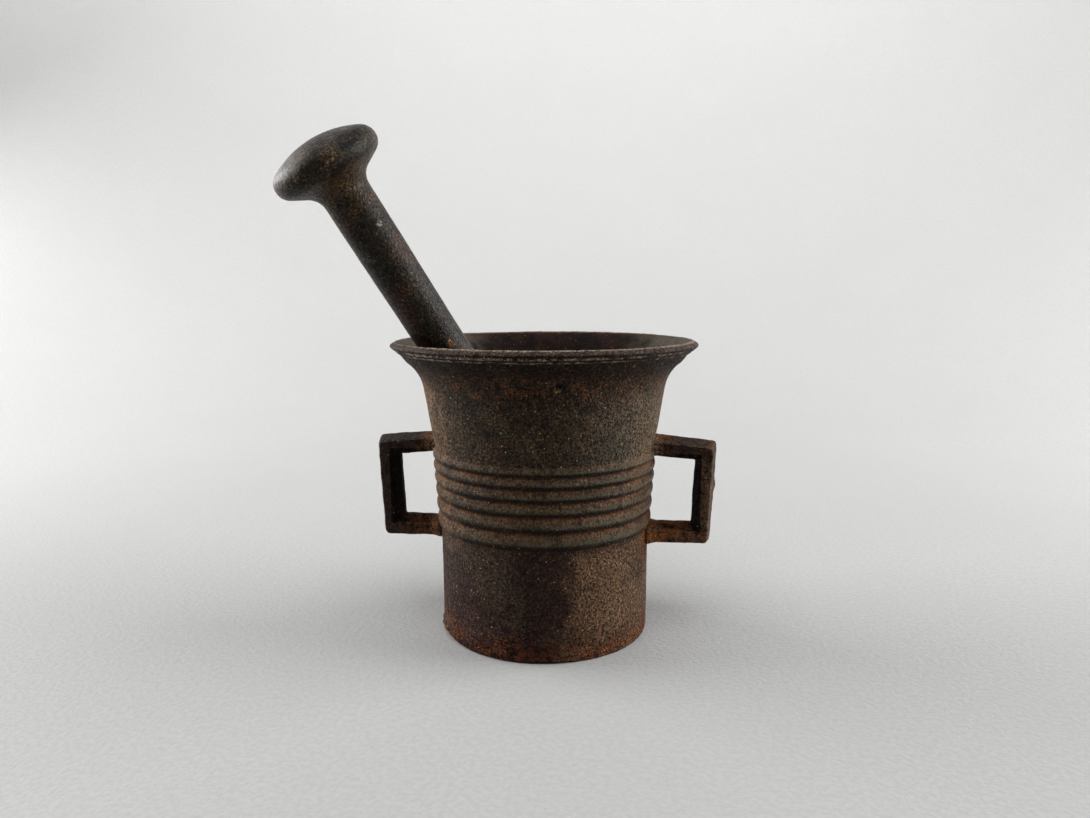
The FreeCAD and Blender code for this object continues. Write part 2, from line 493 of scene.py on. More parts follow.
# the handles, in millimetres: a square frame of drafted bars, swept round its corners
handleSizes = {
    "outerTop": (70.3, 79.4),
    "outerBottom": (68.2, 36.8),
    "rootTop": (39.05, 82.2),
    "rootReach": 41.6,
    "bar": 8.2,
    "topBar": 8.8,
    "halfDepth": 8.0,
    "draft": 1.6,
    "outerCorner": 2.2,
    "innerCorner": 0.7,
    "edgeRound": 1.0,
    "rootSpread": 1.3,
    "rootRun": 2.6,
    "rootSunk": 3.0,
    "rootCurve": 2.2,
    "pathSteps": (26, 44, 25),
    "cornerSteps": 6,
    "sectionStep": 1.2,
    "edgeSteps": 4,
}
handleSkinHeights = {
    "Wave Height": 0.00024,
    "Lump Height": 0.00016,
    "Pit Depth": 0.0003,
    "Grain Height": 0.00005,
}
# a nub left standing on the right bar's outer face, and a knock on the left one, in metres
handleMarks = {
    "rightHandle": {"spot": (0.0694, 0.0, 0.0612), "reach": 0.0024, "depth": -0.0007},
    "leftHandle": {"spot": (-0.0698, -0.001, 0.07), "reach": 0.0018, "depth": 0.0005},
}


def sectionPoints():
    # one bar cut across: (share of the bar from its outer face, depth), rounded at its edges
    s = handleSizes
    half = s["bar"] / 2
    narrow = half - s["draft"]
    corners = [(half, 0.0), (narrow, s["halfDepth"]), (-narrow, s["halfDepth"]),
               (-half, 0.0), (-narrow, -s["halfDepth"]), (narrow, -s["halfDepth"])]
    rounding = [0.5, s["edgeRound"], s["edgeRound"]] * 2
    points, edges = [], []
    for i, corner in enumerate(corners):
        here = Vector(corner)
        before = Vector(corners[i - 1]) - here
        after = Vector(corners[(i + 1) % 6]) - here
        turn = math.pi - before.angle(after)
        reach = rounding[i] * math.tan(turn / 2) + 0.001
        first = here + before.normalized() * reach
        last = here + after.normalized() * reach
        for k in range(s["edgeSteps"] + 1):
            t = k / s["edgeSteps"]
            points.append((1 - t) ** 2 * first + 2 * t * (1 - t) * here + t * t * last)
            edges.append(1 - abs(2 * t - 1))
        far = Vector(corners[(i + 1) % 6])
        steps = int((far - here).length / s["sectionStep"])
        for k in range(1, steps):
            p = here + (far - here) * (k / steps)
            if (p - here).length > reach + 0.4 and (p - far).length > rounding[(i + 1) % 6] + 0.4:
                points.append(p)
                edges.append(0.0)
    return [(half - p.x, p.y) for p in points], edges


def crossing(p, d, q, e):
    # where two lines meet, each given by a point and a direction
    det = d.x * e.y - d.y * e.x
    t = ((q.x - p.x) * e.y - (q.y - p.y) * e.x) / det
    return p + d * t


def handlePath(depth):
    # the frame's line at a depth inside its outer face, with the same number of points for any depth
    s = handleSizes
    top = depth * s["topBar"] / s["bar"]
    a, b, c = Vector(s["rootTop"]), Vector(s["outerTop"]), Vector(s["outerBottom"])
    along = (b - a).normalized()
    down = (c - b).normalized()
    back = Vector((-1, 0))
    a, b2 = a + Vector((along.y, -along.x)) * top, b + Vector((down.y, -down.x)) * depth
    c2 = c + Vector((0, depth))
    upper = crossing(a, along, b2, down)
    lower = crossing(b2, down, c2, back)
    share = depth / s["bar"]
    radius = s["outerCorner"] * (1 - share) + s["innerCorner"] * share
    start = a + along * ((s["rootReach"] - a.x) / along.x)
    end = Vector((s["rootReach"], lower.y))
    points = []
    stops = [start, upper, lower, end]
    ways = [along, down, back]
    counts = s["pathSteps"]
    for i in range(3):
        p, q, way = stops[i], stops[i + 1], ways[i]
        if i > 0:
            turn = ways[i - 1].angle(way)
            p = p + way * radius * math.tan(turn / 2)
        if i < 2:
            turn = way.angle(ways[i + 1])
            q = q - way * radius * math.tan(turn / 2)
        points += [p + (q - p) * k / counts[i] for k in range(counts[i] + 1)]
        if i < 2:
            corner = stops[i + 1]
            nextStart = corner + ways[i + 1] * radius * math.tan(turn / 2)
            for k in range(1, s["cornerSteps"]):
                t = k / s["cornerSteps"]
                points.append((1 - t) ** 2 * q + 2 * t * (1 - t) * corner + t * t * nextStart)
    return points


def rootFlare(x):
    # how far the casting spreads as a bar runs into the wall
    s = handleSizes
    t = max(0.0, min(1.0, (s["rootReach"] + s["rootSunk"] + s["rootRun"] - x) / (s["rootRun"] + 1.0)))
    return s["rootSpread"] * t ** s["rootCurve"]


def handleMesh(side):
    s = handleSizes
    section, edges = sectionPoints()
    middle = handlePath(s["bar"] / 2)
    rows = []
    for depth, across in section:
        path = handlePath(depth)
        row = []
        for p, centre in zip(path, middle):
            out = Vector((p.x - centre.x, across, p.y - centre.y))
            grow = rootFlare(p.x) / max(out.length, 0.1)
            spot = Vector((centre.x, 0, centre.y)) + out * (1 + grow)
            row.append(Vector((min(spot.x, p.x + 0.4) if grow else spot.x, spot.y, spot.z)))
        rows.append(row)
    steps, around = len(middle), len(section)
    points = []
    for row in rows:
        points += [(p.x * side * mm, p.y * mm, p.z * mm) for p in row]
    faces = []
    for i in range(around):
        j = (i + 1) % around
        for k in range(steps - 1):
            faces.append((i * steps + k, i * steps + k + 1, j * steps + k + 1, j * steps + k))
    faces.append([i * steps for i in range(around)])
    faces.append([i * steps + steps - 1 for i in reversed(range(around))])
    marks = [mark for mark in edges for step in range(steps)]
    return points, faces, marks


def makeHandle(name, side, finish, seed):
    points, faces, marks = handleMesh(side)
    owner = meshObject(name, points, (), faces)
    owner.data.attributes.new("edge", "FLOAT", "POINT").data.foreach_set("value", marks)
    editMesh(owner.data, lambda bm: bmesh.ops.recalc_face_normals(bm, faces=bm.faces))
    modifier = owner.modifiers.new("skin", "NODES")
    modifier.node_group = handleSkin
    for label, value in {**handleSkinHeights, "Seed": seed}.items():
        modifier[handleSockets[label]] = value
    modifier[handleSockets["Finish"]] = finish
    return plainMesh(owner, name)


def makeHandleSkin():
    tree, given, identifiers = startTree("handleSkin", (*skinRows, ("Finish", "Material", None)))
    finer = addNode(tree, "GeometryNodeSubdivisionSurface", {"Mesh": given[0], "Level": 1})
    finishTree(tree, given, finer)
    return tree, identifiers


handleSkin, handleSockets = makeHandleSkin()


# the pestle, in millimetres
pestleSizes = {
    "knobRadius": 20.5,
    "knobDome": 9.2,
    "knobEdge": 5.6,
    "headRadius": 18.5,
    "headDome": 10.5,
    "headEdge": 4.5,
    "neck": 6.5,
    "underside": math.radians(28),
    "shaftAtKnob": 9.2,
    "shaftAtHead": 8.6,
    "skinAllowance": 0.12,
    "stepsAround": 150,
}


def pestleAxis():
    # the casting is round, so its surface's main direction is its axis
    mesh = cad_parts["pestle"].data
    mesh.calc_loop_triangles()
    points = np.array([v.co for v in mesh.vertices])
    corners = points[np.array([t.vertices for t in mesh.loop_triangles])]
    weights = np.array([t.area for t in mesh.loop_triangles])
    centres = corners.mean(1)
    middle = (centres * weights[:, None]).sum(0) / weights.sum()
    spread = ((centres - middle) * weights[:, None]).T @ (centres - middle)
    way = np.linalg.eigh(spread)[1][:, 2]
    way = way * np.sign(way[2])
    along = (points - middle) @ way
    return Vector(middle + way * along.min()), Vector(way), float(along.max() - along.min())


def mushroomArcs(widest, dome, edge, shaft):
    s = pestleSizes
    edgeCentre = (widest - edge, -dome)
    domeRadius = (edgeCentre[0] ** 2 + dome ** 2 - edge ** 2) / (2 * (dome - edge))
    rise = math.atan2(edgeCentre[1] + domeRadius, edgeCentre[0])
    under = -math.pi / 2 + s["underside"]
    start = (edgeCentre[0] + edge * math.cos(under), edgeCentre[1] + edge * math.sin(under))
    neckX = shaft + s["neck"]
    drop = (s["neck"] - (neckX - start[0]) * math.cos(under)) / math.sin(under)
    return [
        arcPoints((0, -domeRadius), domeRadius, math.pi / 2, rise, 1.0)
        + arcPoints(edgeCentre, edge, rise, under, 0.9),
        arcPoints((neckX, start[1] + drop), s["neck"], under + math.pi, math.pi, 0.9)]


def pestleProfile(length):
    s = pestleSizes
    slim = s["skinAllowance"]
    knob = chainPoints(
        mushroomArcs(s["knobRadius"] - slim, s["knobDome"], s["knobEdge"], s["shaftAtKnob"] - slim))
    head = chainPoints(
        mushroomArcs(s["headRadius"] - slim, s["headDome"], s["headEdge"], s["shaftAtHead"] - slim))
    upper = [(r, length - slim + z) for r, z in knob]
    lower = [(r, slim - z) for r, z in head]
    shaft = linePoints(lower[-1], upper[-1], 1.2)
    return [(r * mm, z * mm) for r, z in chainPoints([lower, shaft, upper[::-1]])]


# finishes
def newFinish(name):
    finish = bpy.data.materials.new(name)
    finish.use_nodes = True
    tree = finish.node_tree
    shader = tree.nodes["Principled BSDF"]
    return finish, tree, shader


def cloud(tree, place, scale, detail=3.0, rough=0.55, seed=0.0, warp=0.0):
    spot = vectorCalc(tree, "ADD", place, (seed, seed * 0.7, -seed * 0.4))
    made = addNode(
        tree, "ShaderNodeTexNoise",
        {"Vector": spot, "Scale": scale, "Detail": detail, "Roughness": rough, "Distortion": warp})
    return made.outputs[0]


def blend(tree, share, under, over, mode="MIX"):
    under, over = ((*v, 1.0) if isinstance(v, tuple) else v for v in (under, over))
    made = addNode(
        tree, "ShaderNodeMix", {0: share, 6: under, 7: over}, data_type="RGBA", blend_type=mode)
    return made.outputs[2]


def near(tree, place, spot, reach, soft):
    away = vectorCalc(tree, "DISTANCE", place, spot)
    return ease(tree, away, reach, reach + soft, 1.0, 0.0)


def attribute(tree, name):
    return addNode(tree, "ShaderNodeAttribute", attribute_name=name).outputs["Fac"]


def tint(tree, colour, over, *shares):
    # lays a second colour over the first, by the product of some shares
    return blend(tree, product(tree, *shares), colour, over)


def shifted(tree, value, source, amount):
    # a value pushed up and down by a cloud
    return total(tree, value, product(tree, minus(tree, source, 0.5), amount))


def fray(tree, value, source, amount, *limits):
    # an ease whose edge is made uneven by a cloud
    return ease(tree, shifted(tree, value, source, amount), *limits)


def shade(tree, colour, share, low):
    # darkens a colour towards a fraction of itself
    return blend(tree, share, colour, blend(tree, 1.0, colour, (low, low, low), "MULTIPLY"))


def setSurface(tree, shader, colour, rough, height, surface):
    bump = addNode(tree, "ShaderNodeBump", {
        "Height": height, "Strength": surface["bump"], "Distance": surface["relief"]})
    for label, value in (
            ("Base Color", colour), ("Roughness", rough), ("Normal", bump),
            ("Specular IOR Level", surface["specular"])):
        feed(tree, shader.inputs[label], value)


# clouds, each: scale, detail, roughness, seed, warp
grainClouds = {
    "pore": (1050.0, 2.0, 0.75, 5.3),
    "crumb": (1250.0, 2.0, 0.8, 9.1),
    "bloom": (700.0, 2.0, 0.7, 12.7),
    "area": (130.0, 3.0, 0.65, 15.0),
}


# the fine look of old iron: dark pores, pale crumbs and rust grains over a colour
def addGrain(tree, place, colour, grains, amounts, calm=0.0):
    pore, crumb, bloom, area = (cloud(tree, place, *row) for row in grainClouds.values())
    lively = flip(tree, calm)
    where = product(tree, ease(tree, area, 0.22, 0.6), lively)
    colour = tint(tree, colour, grains["rust"], ease(tree, bloom, 0.5, 0.66), where, amounts["bloom"])
    crisp = ease(tree, lively, 0.0, 1.0, 0.15)
    colour = shade(
        tree, colour, product(tree, ease(tree, pore, 0.54, 0.4), crisp, amounts["pore"]), 0.1)
    lifted = blend(tree, 1.0, colour, (1.0, 0.93, 0.82), "MULTIPLY")
    lifted = blend(tree, 1.0, lifted, blend(tree, 1.0, lifted, lifted, "ADD"), "ADD")
    lifted = blend(tree, 0.5, lifted, lifted, "ADD")
    lifted = blend(tree, amounts["tan"], lifted, grains["crumb"])
    colour = tint(
        tree, colour, lifted, ease(tree, crumb, 0.56, 0.63), ease(tree, where, 0.0, 1.0, 0.3), crisp,
        amounts["crumb"])
    cells = addNode(tree, "ShaderNodeTexVoronoi", {"Vector": place, "Scale": 700.0})
    lot = addNode(tree, "ShaderNodeSeparateColor", {0: cells.outputs["Color"]}).outputs[0]
    specks = product(
        tree, ease(tree, cells.outputs["Distance"], 0.24, 0.12), ease(tree, lot, 0.86, 0.97))
    colour = tint(tree, colour, grains["speck"], specks, lively, amounts["speck"])
    height = total(
        tree, product(tree, pore, 0.8),
        total(tree, product(tree, crumb, 0.5), product(tree, bloom, 0.6)))
    height = product(tree, height, crisp)
    return colour, height, pore


mortarColours = {
    "black": (0.0085, 0.0046, 0.0029),
    "brown": (0.032, 0.0175, 0.0094),
    "olive": (0.048, 0.0375, 0.0225),
    "wallRight": (0.09, 0.079, 0.056),
    "purple": (0.029, 0.012, 0.0105),
    "purpleDark": (0.014, 0.004, 0.0034),
    "warm": (0.096, 0.054, 0.0285),
    "dust": (0.086, 0.049, 0.025),
    "rust": (0.16, 0.056, 0.015),
    "redRust": (0.1, 0.029, 0.0105),
    "crestGrey": (0.072, 0.062, 0.04),
    "flank": (0.165, 0.095, 0.05),
    "barDark": (0.019, 0.011, 0.009),
    "barRight": (0.078, 0.046, 0.027),
    "barEdgeWearAndGlint": (0.115, 0.085, 0.062),
    "pitCrumb": (0.15, 0.115, 0.042),
    "lip": (0.048, 0.029, 0.023),
    "lipEdgeWearAndGlint": (0.3, 0.245, 0.19),
    "flare": (0.064, 0.054, 0.043),
    "bowlDark": (0.0035, 0.002, 0.0015),
    "bowl": (0.012, 0.005, 0.003),
}
mortarGrains = {"rust": (0.105, 0.046, 0.018), "crumb": (0.2, 0.135, 0.08), "speck": (0.42, 0.32, 0.21)}
mortarClouds = {
    "broad": (22.0, 3.0, 0.55, 3.1),
    "patch": (60.0, 4.0, 0.62, 7.7, 0.4),
    "mottle": (190.0, 4.0, 0.68, 1.9, 0.3),
    "spotty": (420.0, 3.0, 0.7, 6.6),
}
mortarSurface = {
    "rough": (0.74, 0.56),
    "rustRough": 0.22,
    "wornRough": 0.22,
    "windowRough": 0.5,
    "bowlRough": 0.35,
    "wornMetal": 0.2,
    "edgeMetal": 0.35,
    "specular": 0.1,
    "bump": 1.0,
    "relief": 0.0007,
}
# where each zone starts and is full, then depths below the rim, then spots, in metres
mortarZones = {
    "wallFoot": (0.07, 0.078),
    "wallTop": (0.106, 0.094),
    "wallRight": (0.01, 0.04),
    "lowWall": (0.046, 0.04),
    "leftPart": (0.012, -0.01),
    "bruiseRight": (0.034, 0.01),
    "tanLeft": (0.003, 0.02),
    "flankSide": (0.029, 0.044),
    "flankFoot": (0.034, 0.042),
    "flankTop": (0.11, 0.1),
    "handleSide": (0.0465, 0.0495),
    "handleFoot": (0.03, 0.033),
    "handleTop": (0.089, 0.086),
    "topBarFoot": (0.0765, 0.0715),
    "windowSide": (0.0626, 0.062),
    "windowFoot": (0.0444, 0.045),
    "windowTop": (0.0738, 0.0732),
    "underLipShadeFoot": (0.1085, 0.112),
    "underLipShadeTop": (0.1156, 0.115),
    "fringeFoot": (0.099, 0.104),
    "fringeTop": (0.1115, 0.1085),
    "lip": (0.115, 0.1155),
    "footCrust": (0.014, 0.001),
    "lipGrooves": (0.0038, 0.0023),
    "lipRidges": (0.0031, 0.0046),
    "upperRoot": (0.045, 0.0, 0.078),
    "lowerRoot": (0.045, 0.0, 0.041),
    "burr": (-0.0375, -0.0205, 0.002),
}
mortarAmounts = {"bloom": 0.32, "pore": 0.9, "crumb": 0.7, "tan": 0.12, "speck": 0.8}


def makeMortarFinish():
    c = mortarColours
    finish, tree, shader = newFinish("mortarIron")
    place = addNode(tree, "ShaderNodeTexCoord").outputs["Object"]
    x, y, z = addNode(tree, "ShaderNodeSeparateXYZ", {0: place}).outputs
    side = calc(tree, "ABSOLUTE", x)
    crest, slope = attribute(tree, "ringCrest"), attribute(tree, "ringSlope")
    band, inside = attribute(tree, "ringBand"), attribute(tree, "inside")
    broad, patch, mottle, spotty = (cloud(tree, place, *row) for row in mortarClouds.values())

    def zone(value, name, *amounts):
        return ease(tree, value, *mortarZones[name], *amounts)

    colour = blend(tree, ease(tree, mottle, 0.26, 0.7), c["black"], c["brown"])
    # plain wall above the rings: worn to a dull olive
    wall = product(tree, zone(z, "wallFoot"), zone(shifted(tree, z, patch, 0.02), "wallTop"))
    colour = tint(tree, colour, c["olive"], wall, fray(tree, patch, spotty, 0.5, 0.3, 0.66), 0.6)
    colour = tint(
        tree, colour, c["wallRight"], wall, zone(x, "wallRight"),
        ease(tree, spotty, 0.22, 0.7, 0.3, 0.75), 0.7)
    # below the rings: purple on the left, a dark streak, then tan on the right
    low = zone(shifted(tree, z, patch, 0.012), "lowWall")
    left = zone(shifted(tree, x, patch, 0.05), "leftPart")
    bruise = blend(tree, fray(tree, patch, spotty, 0.7, 0.34, 0.62), c["purpleDark"], c["purple"])
    colour = tint(tree, colour, bruise, low, zone(shifted(tree, x, broad, 0.05), "bruiseRight"))
    tan = blend(tree, fray(tree, patch, spotty, 0.5, 0.2, 0.62), c["brown"], c["warm"])
    colour = tint(tree, colour, tan, low, zone(shifted(tree, x, patch, 0.05), "tanLeft"), 0.95)
    colour = tint(tree, colour, c["olive"], low, left, fray(tree, broad, mottle, 0.5, 0.46, 0.6), 0.5)
    # warm brown patches everywhere
    colour = tint(
        tree, colour, c["warm"], ease(tree, patch, 0.5, 0.68), ease(tree, spotty, 0.36, 0.6), 0.45)

    # rings: dusty shoulders, crests worn grey with a painted highlight, painted shade on their
    # undersides, and rust down in the joins
    uneven = fray(tree, patch, mottle, 0.6, 0.3, 0.62)
    shoulder = product(tree, band, ease(tree, slope, -0.2, 0.6), ease(tree, uneven, 0, 1, 0.45))
    colour = tint(tree, colour, c["dust"], shoulder, ease(tree, spotty, 0.3, 0.58), 0.8)
    # crests worn grey, partly a painted highlight that grows towards +x
    crestWearAndHighlight = product(
        tree, fray(tree, crest, spotty, 0.3, 0.7, 1.0),
        ease(tree, total(tree, mottle, product(tree, x, 3.0)), 0.36, 0.62, 0.22, 0.85))
    colour = blend(tree, crestWearAndHighlight, colour, c["crestGrey"])
    # painted shade on the downward-facing side of each bead
    colour = shade(
        tree, colour,
        product(tree, band, ease(tree, slope, -0.25, -0.9), ease(tree, mottle, 0.3, 0.6, 0.55, 0.95)),
        0.18)
    joinLine = product(
        tree, band, fray(tree, crest, spotty, 0.5, 0.42, 0.14),
        fray(tree, patch, mottle, 0.8, 0.42, 0.62, 0.1),
        ease(tree, minus(tree, side, product(tree, x, 0.3)), 0.01, 0.034, 0.35, 1.0))
    colour = tint(tree, colour, c["rust"], joinLine, 0.75)

    # paler, rustier flanks beside the handles: a rust tint with painted side light, stronger on the
    # left
    flank = product(
        tree, zone(shifted(tree, side, patch, 0.03), "flankSide"),
        zone(shifted(tree, z, mottle, 0.02), "flankFoot"), zone(z, "flankTop"))
    colour = tint(
        tree, colour, c["flank"], flank, fray(tree, spotty, mottle, 0.5, 0.36, 0.6, 0.2, 0.75),
        ease(tree, x, 0.01, -0.01, 0.4))
    # rust where the handles grow out of the wall
    mirrored = addNode(tree, "ShaderNodeCombineXYZ", {0: side, 1: y, 2: z}).outputs[0]
    grit = addNode(
        tree, "ShaderNodeTexNoise",
        {"Vector": place, "Scale": 90.0, "Detail": 4.0, "Roughness": 0.65}).outputs["Color"]
    push = vectorCalc(tree, "SCALE", vectorCalc(tree, "SUBTRACT", grit, (0.5, 0.5, 0.5)), scale=0.016)
    ragged = vectorCalc(tree, "ADD", mirrored, push)
    roots = largest(
        tree, near(tree, ragged, mortarZones["upperRoot"], 0.004, 0.008),
        near(tree, ragged, mortarZones["lowerRoot"], 0.008, 0.012))
    roots = product(tree, roots, ease(tree, x, -0.02, 0.02, 0.75))

    # the handles: nearly black, with rust in patches
    handle = product(tree, zone(side, "handleSide"), zone(z, "handleFoot"), zone(z, "handleTop"))
    rightSide = ease(tree, x, -0.02, 0.02, 0.12)
    barShare = product(tree, rightSide, zone(z, "topBarFoot", 0.12))
    bar = blend(
        tree, fray(tree, mottle, spotty, 0.6, 0.34, 0.62), c["black"],
        blend(tree, barShare, c["barDark"], c["barRight"]))
    bar = tint(tree, bar, c["redRust"], fray(tree, patch, spotty, 0.8, 0.5, 0.72), rightSide, 0.6)
    # pale bar edges: wear, with a painted highlight along them
    edge = attribute(tree, "edge")
    bar = tint(
        tree, bar, c["barEdgeWearAndGlint"], ease(tree, edge, 0.45, 0.95), ease(tree, spotty, 0.38, 0.54), 0.9)
    colour = blend(tree, handle, colour, bar)
    # painted shade on the inner faces of each handle's window, which face the mortar
    deep = product(tree, calc(tree, "ABSOLUTE", y), 0.2)
    shadedWindow = product(
        tree, zone(minus(tree, side, deep), "windowSide"), zone(total(tree, z, deep), "windowFoot"),
        zone(minus(tree, z, deep), "windowTop"))
    colour = shade(tree, colour, product(tree, handle, shadedWindow, 0.95), 0.04)
    colour = tint(tree, colour, c["rust"], roots, fray(tree, mottle, spotty, 0.7, 0.34, 0.62), 0.85)

    # under the lip: a band of painted shade, with a rusty fringe below it
    underLipShade = product(
        tree, zone(shifted(tree, z, mottle, 0.006), "underLipShadeFoot"), zone(z, "underLipShadeTop"),
        fray(tree, patch, mottle, 0.5, 0.36, 0.6, 0.35))
    colour = shade(tree, colour, product(tree, underLipShade, flip(tree, inside), 0.95), 0.15)
    fringe = product(
        tree, zone(shifted(tree, z, mottle, 0.012), "fringeFoot"),
        zone(shifted(tree, z, mottle, 0.006), "fringeTop"))
    colour = tint(
        tree, colour, c["rust"], fringe, fray(tree, spotty, mottle, 0.5, 0.48, 0.64),
        ease(tree, x, 0.05, -0.01, 0.3, 0.8), flip(tree, inside), 0.45)
    # the lip itself: pale along its edge and ridges, wear with a painted highlight stronger on the
    # left; darkened in its grooves
    lipBand = product(tree, zone(z, "lip"), flip(tree, inside))
    colour = tint(tree, colour, c["lip"], lipBand, fray(tree, spotty, mottle, 0.4, 0.4, 0.56), 0.85)

    def cut(depthBelow):
        away = calc(
            tree, "ABSOLUTE", minus(tree, shifted(tree, z, mottle, 0.0006), rimHeight - depthBelow))
        return ease(tree, away, 0.0007, 0.0002)

    # darker in the lip's grooves
    groove = product(tree, lipBand, largest(tree, *map(cut, mortarZones["lipGrooves"])), 0.95)
    colour = shade(tree, colour, groove, 0.12)
    # pale top edge and ridges: wear with a painted highlight
    topEdge = product(
        tree, ease(tree, z, rimHeight - 0.0006, rimHeight - 0.0002), ease(tree, spotty, 0.3, 0.55))
    ridges = product(
        tree, lipBand, largest(tree, *map(cut, mortarZones["lipRidges"])),
        fray(tree, spotty, patch, 0.8, 0.42, 0.6), ease(tree, x, 0.05, -0.05, 0.5))
    edgeWearAndGlint = largest(tree, product(tree, topEdge, 0.7), product(tree, ridges, 0.8))
    colour = blend(tree, edgeWearAndGlint, colour, c["lipEdgeWearAndGlint"])

    pitSpot = mortarMarks["rimPit"]["spot"]
    # painted shade in the rim pit's hollow
    pit = near(tree, place, pitSpot, 0.0011, 0.0006)
    colour = shade(tree, colour, pit, 0.05)
    crumbs = near(tree, place, (pitSpot[0] - 0.0006, pitSpot[1], pitSpot[2] - 0.0022), 0.0005, 0.0014)
    colour = tint(tree, colour, c["pitCrumb"], crumbs, ease(tree, spotty, 0.4, 0.55), 0.8)
    # redder and crusted round the foot
    foot = zone(shifted(tree, z, patch, 0.022), "footCrust")
    colour = tint(tree, colour, c["redRust"], foot, fray(tree, spotty, mottle, 0.6, 0.4, 0.58), 0.8)
    burr = near(tree, place, mortarZones["burr"], 0.006, 0.012)
    colour = tint(tree, colour, c["rust"], burr, ease(tree, spotty, 0.42, 0.6), 0.5)
    # the bowl is dark all over: painted shade
    bowl = blend(tree, fray(tree, mottle, patch, 0.8, 0.36, 0.68), c["bowlDark"], c["bowl"])
    colour = tint(tree, colour, bowl, inside, ease(tree, z, rimHeight - 0.0006, rimHeight - 0.0015))

    # painted light: the inner flare below the rim is paler towards the left and right
    flare = product(
        tree, inside, ease(tree, z, rimHeight - 0.013, rimHeight - 0.006),
        fray(tree, side, patch, 0.04, 0.026, 0.052), ease(tree, mottle, 0.28, 0.52, 0.3))
    colour = tint(tree, colour, c["flare"], flare, 0.9)

    fromStreak = calc(tree, "ABSOLUTE", minus(tree, shifted(tree, x, patch, 0.02), 0.004))
    streak = product(tree, low, ease(tree, fromStreak, 0.016, 0.004))
    colour = shade(tree, colour, product(tree, streak, 0.75), 0.5)
    calm = largest(
        tree, product(tree, streak, 0.3), product(tree, inside, 0.75), product(tree, handle, 0.45),
        product(tree, band, 0.4), product(tree, crestWearAndHighlight, 0.75))
    colour, height, pore = addGrain(tree, place, colour, mortarGrains, mortarAmounts, calm)
    look = mortarSurface
    rusty = largest(tree, joinLine, roots, foot)
    rough = total(
        tree, ease(tree, pore, 0.35, 0.65, *look["rough"]), product(tree, rusty, look["rustRough"]))
    rough = minus(tree, rough, product(tree, largest(tree, crestWearAndHighlight, edgeWearAndGlint), look["wornRough"]))
    rough = total(
        tree, rough, product(tree, handle, shadedWindow, look["windowRough"]),
        product(tree, inside, look["bowlRough"]))
    bare = largest(
        tree, product(tree, crestWearAndHighlight, look["wornMetal"]), product(tree, edgeWearAndGlint, look["edgeMetal"]))
    feed(tree, shader.inputs["Metallic"], bare)
    setSurface(tree, shader, colour, rough, height, look)
    return finish


pestleColours = {
    "dark": (0.0055, 0.0042, 0.003),
    "greenGrey": (0.019, 0.0165, 0.0105),
    "brown": (0.029, 0.0115, 0.0062),
    "oliveTop": (0.07, 0.052, 0.03),
    "neck": (0.048, 0.031, 0.013),
    "nick": (0.32, 0.29, 0.24),
    "rimRust": (0.15, 0.072, 0.027),
}
pestleMarks = {"knock": (-0.053, -0.0449, 0.1636), "rimTouch": (-0.031, -0.0305, 0.1208)}
pestleGrains = {"rust": (0.07, 0.038, 0.02), "crumb": (0.17, 0.135, 0.095), "speck": (0.3, 0.24, 0.17)}
pestleClouds = {
    "patch": (55.0, 4.0, 0.6, 2.3, 0.5),
    "mottle": (170.0, 4.0, 0.66, 4.4, 0.2),
    "rub": (420.0,),
}
# where each zone starts and where it is full, in metres from the head's tip
pestleZones = {"top": (0.192, 0.197), "neckFoot": (0.172, 0.184), "neckTop": (0.196, 0.188)}
pestleSurface = {
    "rough": (0.52, 0.32), "metal": 0.1, "specular": 0.13, "bump": 0.8, "relief": 0.0004}
pestleAmounts = {"bloom": 0.25, "pore": 0.9, "crumb": 0.8, "tan": 0.08, "speck": 0.4}


def makePestleFinish(tip, way):
    c = pestleColours
    finish, tree, shader = newFinish("pestleIron")
    place = addNode(tree, "ShaderNodeTexCoord").outputs["Object"]
    along = vectorCalc(tree, "DOT_PRODUCT", vectorCalc(tree, "SUBTRACT", place, tuple(tip)), tuple(way))
    patch, mottle, rub = (cloud(tree, place, *row) for row in pestleClouds.values())
    colour = blend(tree, ease(tree, mottle, 0.35, 0.65), c["dark"], c["greenGrey"])
    colour = tint(tree, colour, c["brown"], ease(tree, patch, 0.44, 0.64), 0.75)
    top = product(
        tree, ease(tree, along, *pestleZones["top"]), fray(tree, patch, mottle, 0.6, 0.42, 0.62))
    colour = tint(tree, colour, c["oliveTop"], top, 0.6)
    neck = product(
        tree, ease(tree, along, *pestleZones["neckFoot"]), ease(tree, along, *pestleZones["neckTop"]))
    colour = tint(tree, colour, c["neck"], neck, ease(tree, mottle, 0.35, 0.6, 0.1, 0.8))
    # a knocked spot on the shaft
    knock = near(tree, place, pestleMarks["knock"], 0.0006, 0.001)
    colour = tint(tree, colour, c["nick"], knock, ease(tree, mottle, 0.3, 0.5))
    # rust rubbed off where it leans on the rim
    rubbed = near(tree, place, pestleMarks["rimTouch"], 0.0006, 0.0022)
    colour = tint(tree, colour, c["rimRust"], rubbed, ease(tree, rub, 0.42, 0.58), 0.9)
    colour, height, pore = addGrain(tree, place, colour, pestleGrains, pestleAmounts)
    look = pestleSurface
    shader.inputs["Metallic"].default_value = look["metal"]
    rough = ease(tree, pore, 0.35, 0.65, *look["rough"])
    setSurface(tree, shader, colour, rough, height, look)
    return finish


